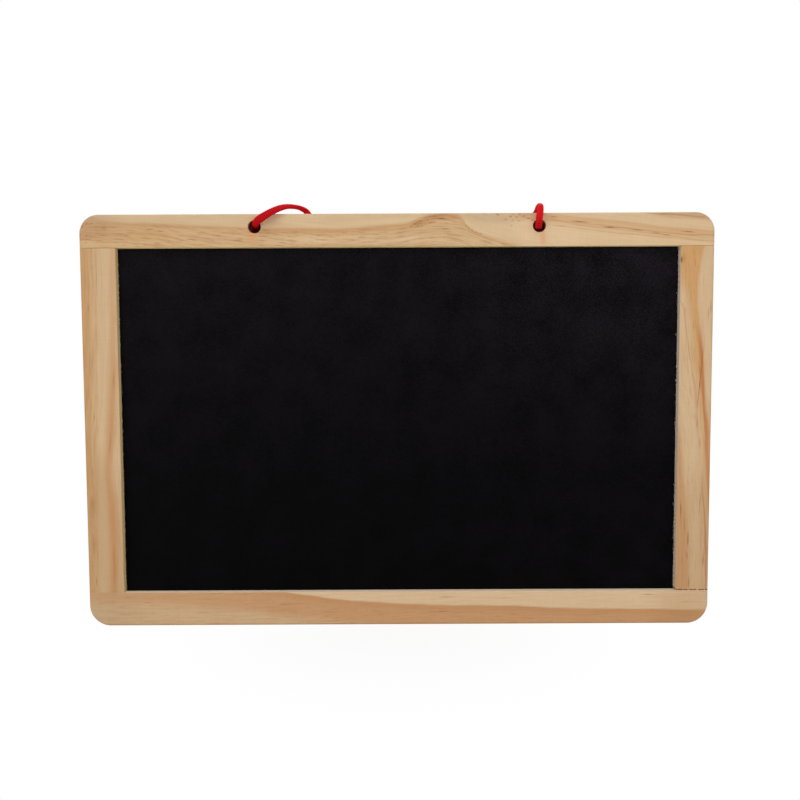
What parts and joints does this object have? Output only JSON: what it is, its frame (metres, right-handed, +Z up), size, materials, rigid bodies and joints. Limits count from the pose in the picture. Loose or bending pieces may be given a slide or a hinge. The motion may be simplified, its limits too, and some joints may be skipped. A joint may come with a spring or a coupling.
{
  "type": "hanging slate board",
  "caption": "Small wooden-framed hanging board with a black chalkboard front, a white wipe-clean back and a red hanging cord.",
  "frame": {"origin": "middle of the frame's bottom edge, at half its thickness", "axes": "+Z up, +X along the width to the right as seen from the front, the chalkboard face looks towards -Y"},
  "size_m": [0.3, 0.0253, 0.2032],
  "materials": {
    "pine": "planed and lightly sanded bare pine, matt",
    "hardboard": "pressed brown fibre, matt",
    "slate_paint": "matt black chalkboard paint",
    "white_film": "gloss white wipe-clean film",
    "red_braid": "flattened braided polyester cord, red"
  },
  "bodies": {
    "board": {"top_rail": "pine", "bottom_rail": "pine", "left_stile": "pine", "right_stile": "pine", "chalkboard_face": "slate_paint", "panel_core": "hardboard", "whiteboard_face": "white_film", "left_cord_lead": "red_braid", "right_cord_lead": "red_braid", "left_knot": "red_braid", "right_knot": "red_braid"},
    "cord_loop": {"hanging_loop": "red_braid"}
  },
  "joints": [
    {"name": "loop_swing", "type": "hinge", "parent": "board", "child": "cord_loop", "pos_m": [0, 0.001, 0.2031], "axis": [1, 0, 0], "range_deg": [0, 170]}
  ]
}
